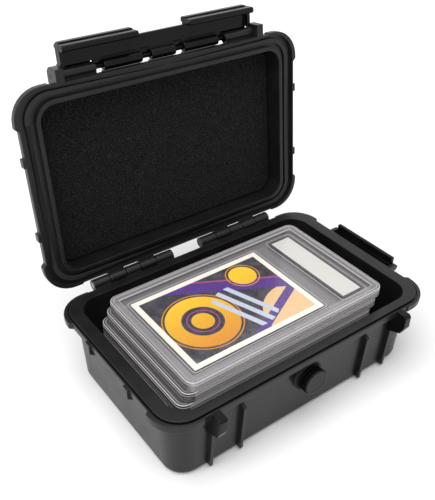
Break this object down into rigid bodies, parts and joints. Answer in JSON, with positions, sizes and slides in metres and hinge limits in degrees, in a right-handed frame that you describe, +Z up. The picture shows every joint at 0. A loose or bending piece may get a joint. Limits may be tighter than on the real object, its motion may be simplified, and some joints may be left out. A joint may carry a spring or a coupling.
{
  "type": "graded card case",
  "caption": "Small hard carrying case with a hinged foam-lined lid, wide swing latch, valve knob and strap bar, holding a stack of clear card slabs.",
  "frame": {"origin": "centre of the flat underside of the base", "axes": "+X along the length to the right end with the strap bar, +Y to the hinge at the back, +Z up"},
  "size_m": [0.1954, 0.1603, 0.1869],
  "materials": {
    "shell": "satin, fine grain",
    "latch": "satin",
    "rubber": "matte",
    "foam": "open-cell foam, matte",
    "steel": "brushed",
    "clear": "clear, polished",
    "card": "printed card stock",
    "label": "printed paper"
  },
  "bodies": {
    "base": {"base_shell": "shell", "hinge_pin_left": "steel", "hinge_pin_right": "steel", "valve_washer": "rubber", "valve_body": "latch", "valve_nut": "latch", "strap_pin_front": "steel", "strap_pin_back": "steel", "slab_1_back": "clear", "slab_1_front": "clear", "slab_1_card": "card", "slab_1_label": "label", "slab_2_back": "clear", "slab_2_front": "clear", "slab_2_card": "card", "slab_2_label": "label", "slab_3_back": "clear", "slab_3_front": "clear", "slab_3_card": "card", "slab_3_label": "label", "slab_4_back": "clear", "slab_4_front": "clear", "slab_4_card": "card", "slab_4_label": "label", "slab_5_back": "clear", "slab_5_front": "clear", "slab_5_card": "card", "slab_5_label": "label", "slab_6_back": "clear", "slab_6_front": "clear", "slab_6_card": "card", "slab_6_label": "label", "slab_7_back": "clear", "slab_7_front": "clear", "slab_7_card": "card", "slab_7_label": "label", "slab_8_back": "clear", "slab_8_front": "clear", "slab_8_card": "card", "slab_8_label": "label", "slab_9_back": "clear", "slab_9_front": "clear", "slab_9_card": "card", "slab_9_label": "label"},
    "lid": {"lid_shell": "shell", "lid_gasket": "rubber", "lid_foam": "foam", "latch_pin": "steel"},
    "latch": {"latch": "latch"},
    "valve_knob": {"valve_knob": "latch"},
    "strap_bar": {"strap_bar": "latch"}
  },
  "joints": [
    {"name": "lid_hinge", "type": "hinge", "parent": "base", "child": "lid", "pos_m": [0, 0.0632, 0.0479], "axis": [1, 0, 0], "range_deg": [0, 96.6]},
    {"name": "latch_pivot", "type": "hinge", "parent": "lid", "child": "latch", "pos_m": [0, 0.0845, 0.17107], "axis": [1, 0, 0], "range_deg": [0, 90]},
    {"name": "valve_knob_turn", "type": "hinge", "parent": "base", "child": "valve_knob", "pos_m": [0, -0.0583, 0.03039], "axis": [0, -1, 0], "range_deg": [0, 360]},
    {"name": "strap_bar_pivot", "type": "hinge", "parent": "base", "child": "strap_bar", "pos_m": [0.0989, 0, 0.0445], "axis": [0, 1, 0], "range_deg": [0, 170]}
  ]
}
